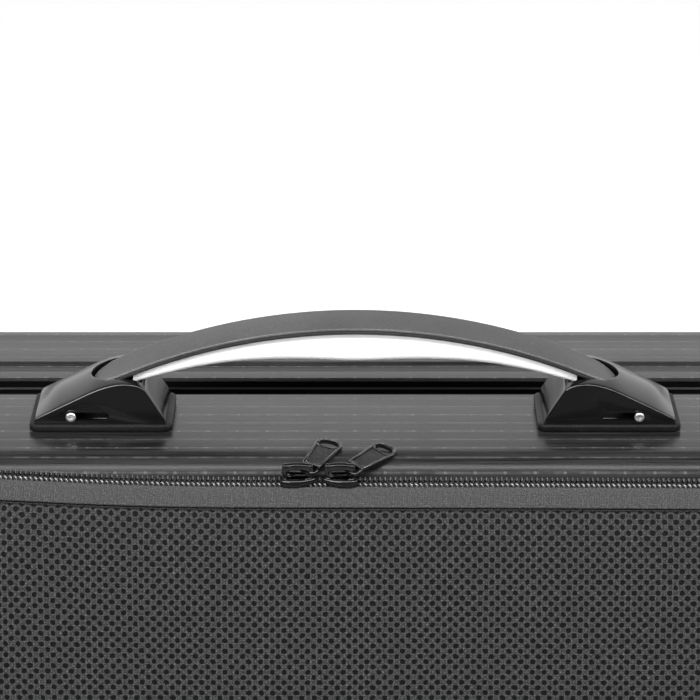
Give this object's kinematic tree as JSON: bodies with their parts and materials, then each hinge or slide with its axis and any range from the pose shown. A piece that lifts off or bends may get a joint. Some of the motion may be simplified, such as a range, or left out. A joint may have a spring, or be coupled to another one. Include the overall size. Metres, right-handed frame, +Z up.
{
  "type": "violin case",
  "caption": "Oblong hard violin case standing on its hinge side, with a carrying handle, latches, a fitted liner and a zipped outer pocket.",
  "frame": {"origin": "on the floor, under the middle of the case as it stands on its hinge side", "axes": "+X along the case towards the violin's scroll, +Y from the outer pocket through the seam to the lid, +Z up to the handle"},
  "size_m": [0.809, 0.1412, 0.2901],
  "materials": {
    "laminate": "satin",
    "rim_black": "gloss",
    "seal_rubber": "matte",
    "foam_velvet": "velvet",
    "bracket_black": "satin",
    "gasket_rubber": "matte",
    "soft_touch": "soft touch",
    "silver": "polished",
    "steel": "plain",
    "mesh_fabric": "mesh",
    "plain_weave": "plain weave",
    "zip_black": "satin",
    "slider_black": "gloss"
  },
  "bodies": {
    "back": {"back_shell": "laminate", "back_rim": "rim_black", "liner_floor": "foam_velvet", "liner_body": "foam_velvet", "liner_neck": "foam_velvet", "tail_pad": "foam_velvet", "shoulder_pad": "foam_velvet", "neck_cradle": "foam_velvet", "neck_strap": "plain_weave", "pocket_panel": "mesh_fabric", "pocket_band": "plain_weave", "pocket_gusset": "plain_weave", "zip_tape": "zip_black", "zip_chain": "zip_black", "foot_back_left": "gasket_rubber", "foot_back_right": "gasket_rubber", "hinge_leaf_back_left": "steel", "hinge_leaf_back_right": "steel", "hinge_pin_left": "steel", "hinge_pin_right": "steel", "latch_base_left": "silver", "latch_base_right": "silver", "bracket_left": "bracket_black", "bracket_right": "bracket_black", "gasket_left": "gasket_rubber", "gasket_right": "gasket_rubber", "backing_plate_left": "steel", "backing_plate_right": "steel", "ring_plate_left": "silver", "ring_plate_right": "silver"},
    "lid": {"lid_shell": "laminate", "lid_rim": "rim_black", "rim_seal": "seal_rubber", "lid_liner": "foam_velvet", "bow_tip_pocket": "foam_velvet", "foot_lid_left": "gasket_rubber", "foot_lid_right": "gasket_rubber", "hinge_leaf_lid_left": "steel", "hinge_leaf_lid_right": "steel", "latch_keeper_left": "silver", "latch_keeper_right": "silver"},
    "accessory_lid": {"accessory_lid": "foam_velvet"},
    "bow_clip_upper": {"bow_clip_upper": "rim_black"},
    "bow_clip_lower": {"bow_clip_lower": "rim_black"},
    "left_slider": {"slide_pin_left": "steel"},
    "handle_left": {"grip_left": "soft_touch", "bar_left": "silver"},
    "handle_right": {"grip_right": "soft_touch", "bar_right": "silver", "slide_pin_right": "steel"},
    "latch_lever_left": {"latch_lever_left": "silver"},
    "latch_lever_right": {"latch_lever_right": "silver"},
    "latch_bail_left": {"latch_bail_left": "silver"},
    "latch_bail_right": {"latch_bail_right": "silver"},
    "zip_slider_left": {"zip_slider_left": "slider_black"},
    "zip_slider_right": {"zip_slider_right": "slider_black"},
    "pull_tab_left": {"pull_tab_left": "slider_black"},
    "pull_tab_right": {"pull_tab_right": "slider_black"},
    "d_ring_left": {"d_ring_left": "silver"},
    "d_ring_right": {"d_ring_right": "silver"}
  },
  "joints": [
    {"name": "lid_hinge", "type": "hinge", "parent": "back", "child": "lid", "pos_m": [0, 0.0063, 0.0034], "axis": [-1, 0, 0], "range_deg": [0, 100]},
    {"name": "accessory_lid_hinge", "type": "hinge", "parent": "back", "child": "accessory_lid", "pos_m": [0.151, -0.0016, 0.2277], "axis": [1, 0, 0], "range_deg": [0, 95]},
    {"name": "bow_clip_upper_turn", "type": "hinge", "parent": "lid", "child": "bow_clip_upper", "pos_m": [-0.252, 0.061, 0.1795], "axis": [0, 1, 0], "range_deg": [0, 90]},
    {"name": "bow_clip_lower_turn", "type": "hinge", "parent": "lid", "child": "bow_clip_lower", "pos_m": [-0.252, 0.061, 0.0875], "axis": [0, 1, 0], "range_deg": [0, 90]},
    {"name": "left_pin_slide", "type": "slide", "parent": "back", "child": "left_slider", "axis": [1, 0, 0], "range_m": [0, 0.0087]},
    {"name": "handle_lift", "type": "hinge", "parent": "left_slider", "child": "handle_left", "pos_m": [-0.0786, -0.0156, 0.26545], "axis": [0, -1, 0], "range_deg": [0, 18.2]},
    {"name": "crown_bend", "type": "hinge", "parent": "handle_left", "child": "handle_right", "pos_m": [0, -0.0156, 0.2807], "axis": [0, 1, 0], "range_deg": [0, 36.4]},
    {"name": "latch_lever_left_pivot", "type": "hinge", "parent": "back", "child": "latch_lever_left", "pos_m": [-0.235, -0.0206, 0.2655], "axis": [1, 0, 0], "range_deg": [0, 110]},
    {"name": "latch_bail_left_pivot", "type": "hinge", "parent": "latch_lever_left", "child": "latch_bail_left", "pos_m": [-0.235, -0.0096, 0.2656], "axis": [1, 0, 0], "range_deg": [0, 60]},
    {"name": "latch_lever_right_pivot", "type": "hinge", "parent": "back", "child": "latch_lever_right", "pos_m": [0.235, -0.0206, 0.2655], "axis": [1, 0, 0], "range_deg": [0, 110]},
    {"name": "latch_bail_right_pivot", "type": "hinge", "parent": "latch_lever_right", "child": "latch_bail_right", "pos_m": [0.235, -0.0096, 0.2656], "axis": [1, 0, 0], "range_deg": [0, 60]},
    {"name": "zip_slider_left_slide", "type": "slide", "parent": "back", "child": "zip_slider_left", "axis": [1, 0, 0], "range_m": [-0.3, 0]},
    {"name": "pull_tab_left_swing", "type": "hinge", "parent": "zip_slider_left", "child": "pull_tab_left", "pos_m": [-0.0155, -0.05283, 0.25979], "axis": [1, 0, 0], "range_deg": [0, 140]},
    {"name": "zip_slider_right_slide", "type": "slide", "parent": "back", "child": "zip_slider_right", "axis": [1, 0, 0], "range_m": [0, 0.32]},
    {"name": "pull_tab_right_swing", "type": "hinge", "parent": "zip_slider_right", "child": "pull_tab_right", "pos_m": [-0.0041, -0.05283, 0.25979], "axis": [1, 0, 0], "range_deg": [0, 140]},
    {"name": "d_ring_left_swing", "type": "hinge", "parent": "back", "child": "d_ring_left", "pos_m": [-0.4005, -0.0236, 0.19], "axis": [0, 1, 0], "range_deg": [0, 85]},
    {"name": "d_ring_right_swing", "type": "hinge", "parent": "back", "child": "d_ring_right", "pos_m": [0.4005, -0.0236, 0.19], "axis": [0, -1, 0], "range_deg": [0, 85]}
  ],
  "couplings": [
    {"joint": "left_pin_slide", "follows": "handle_lift", "m_per_rad": 0.027388},
    {"joint": "crown_bend", "follows": "handle_lift", "ratio": 2}
  ]
}
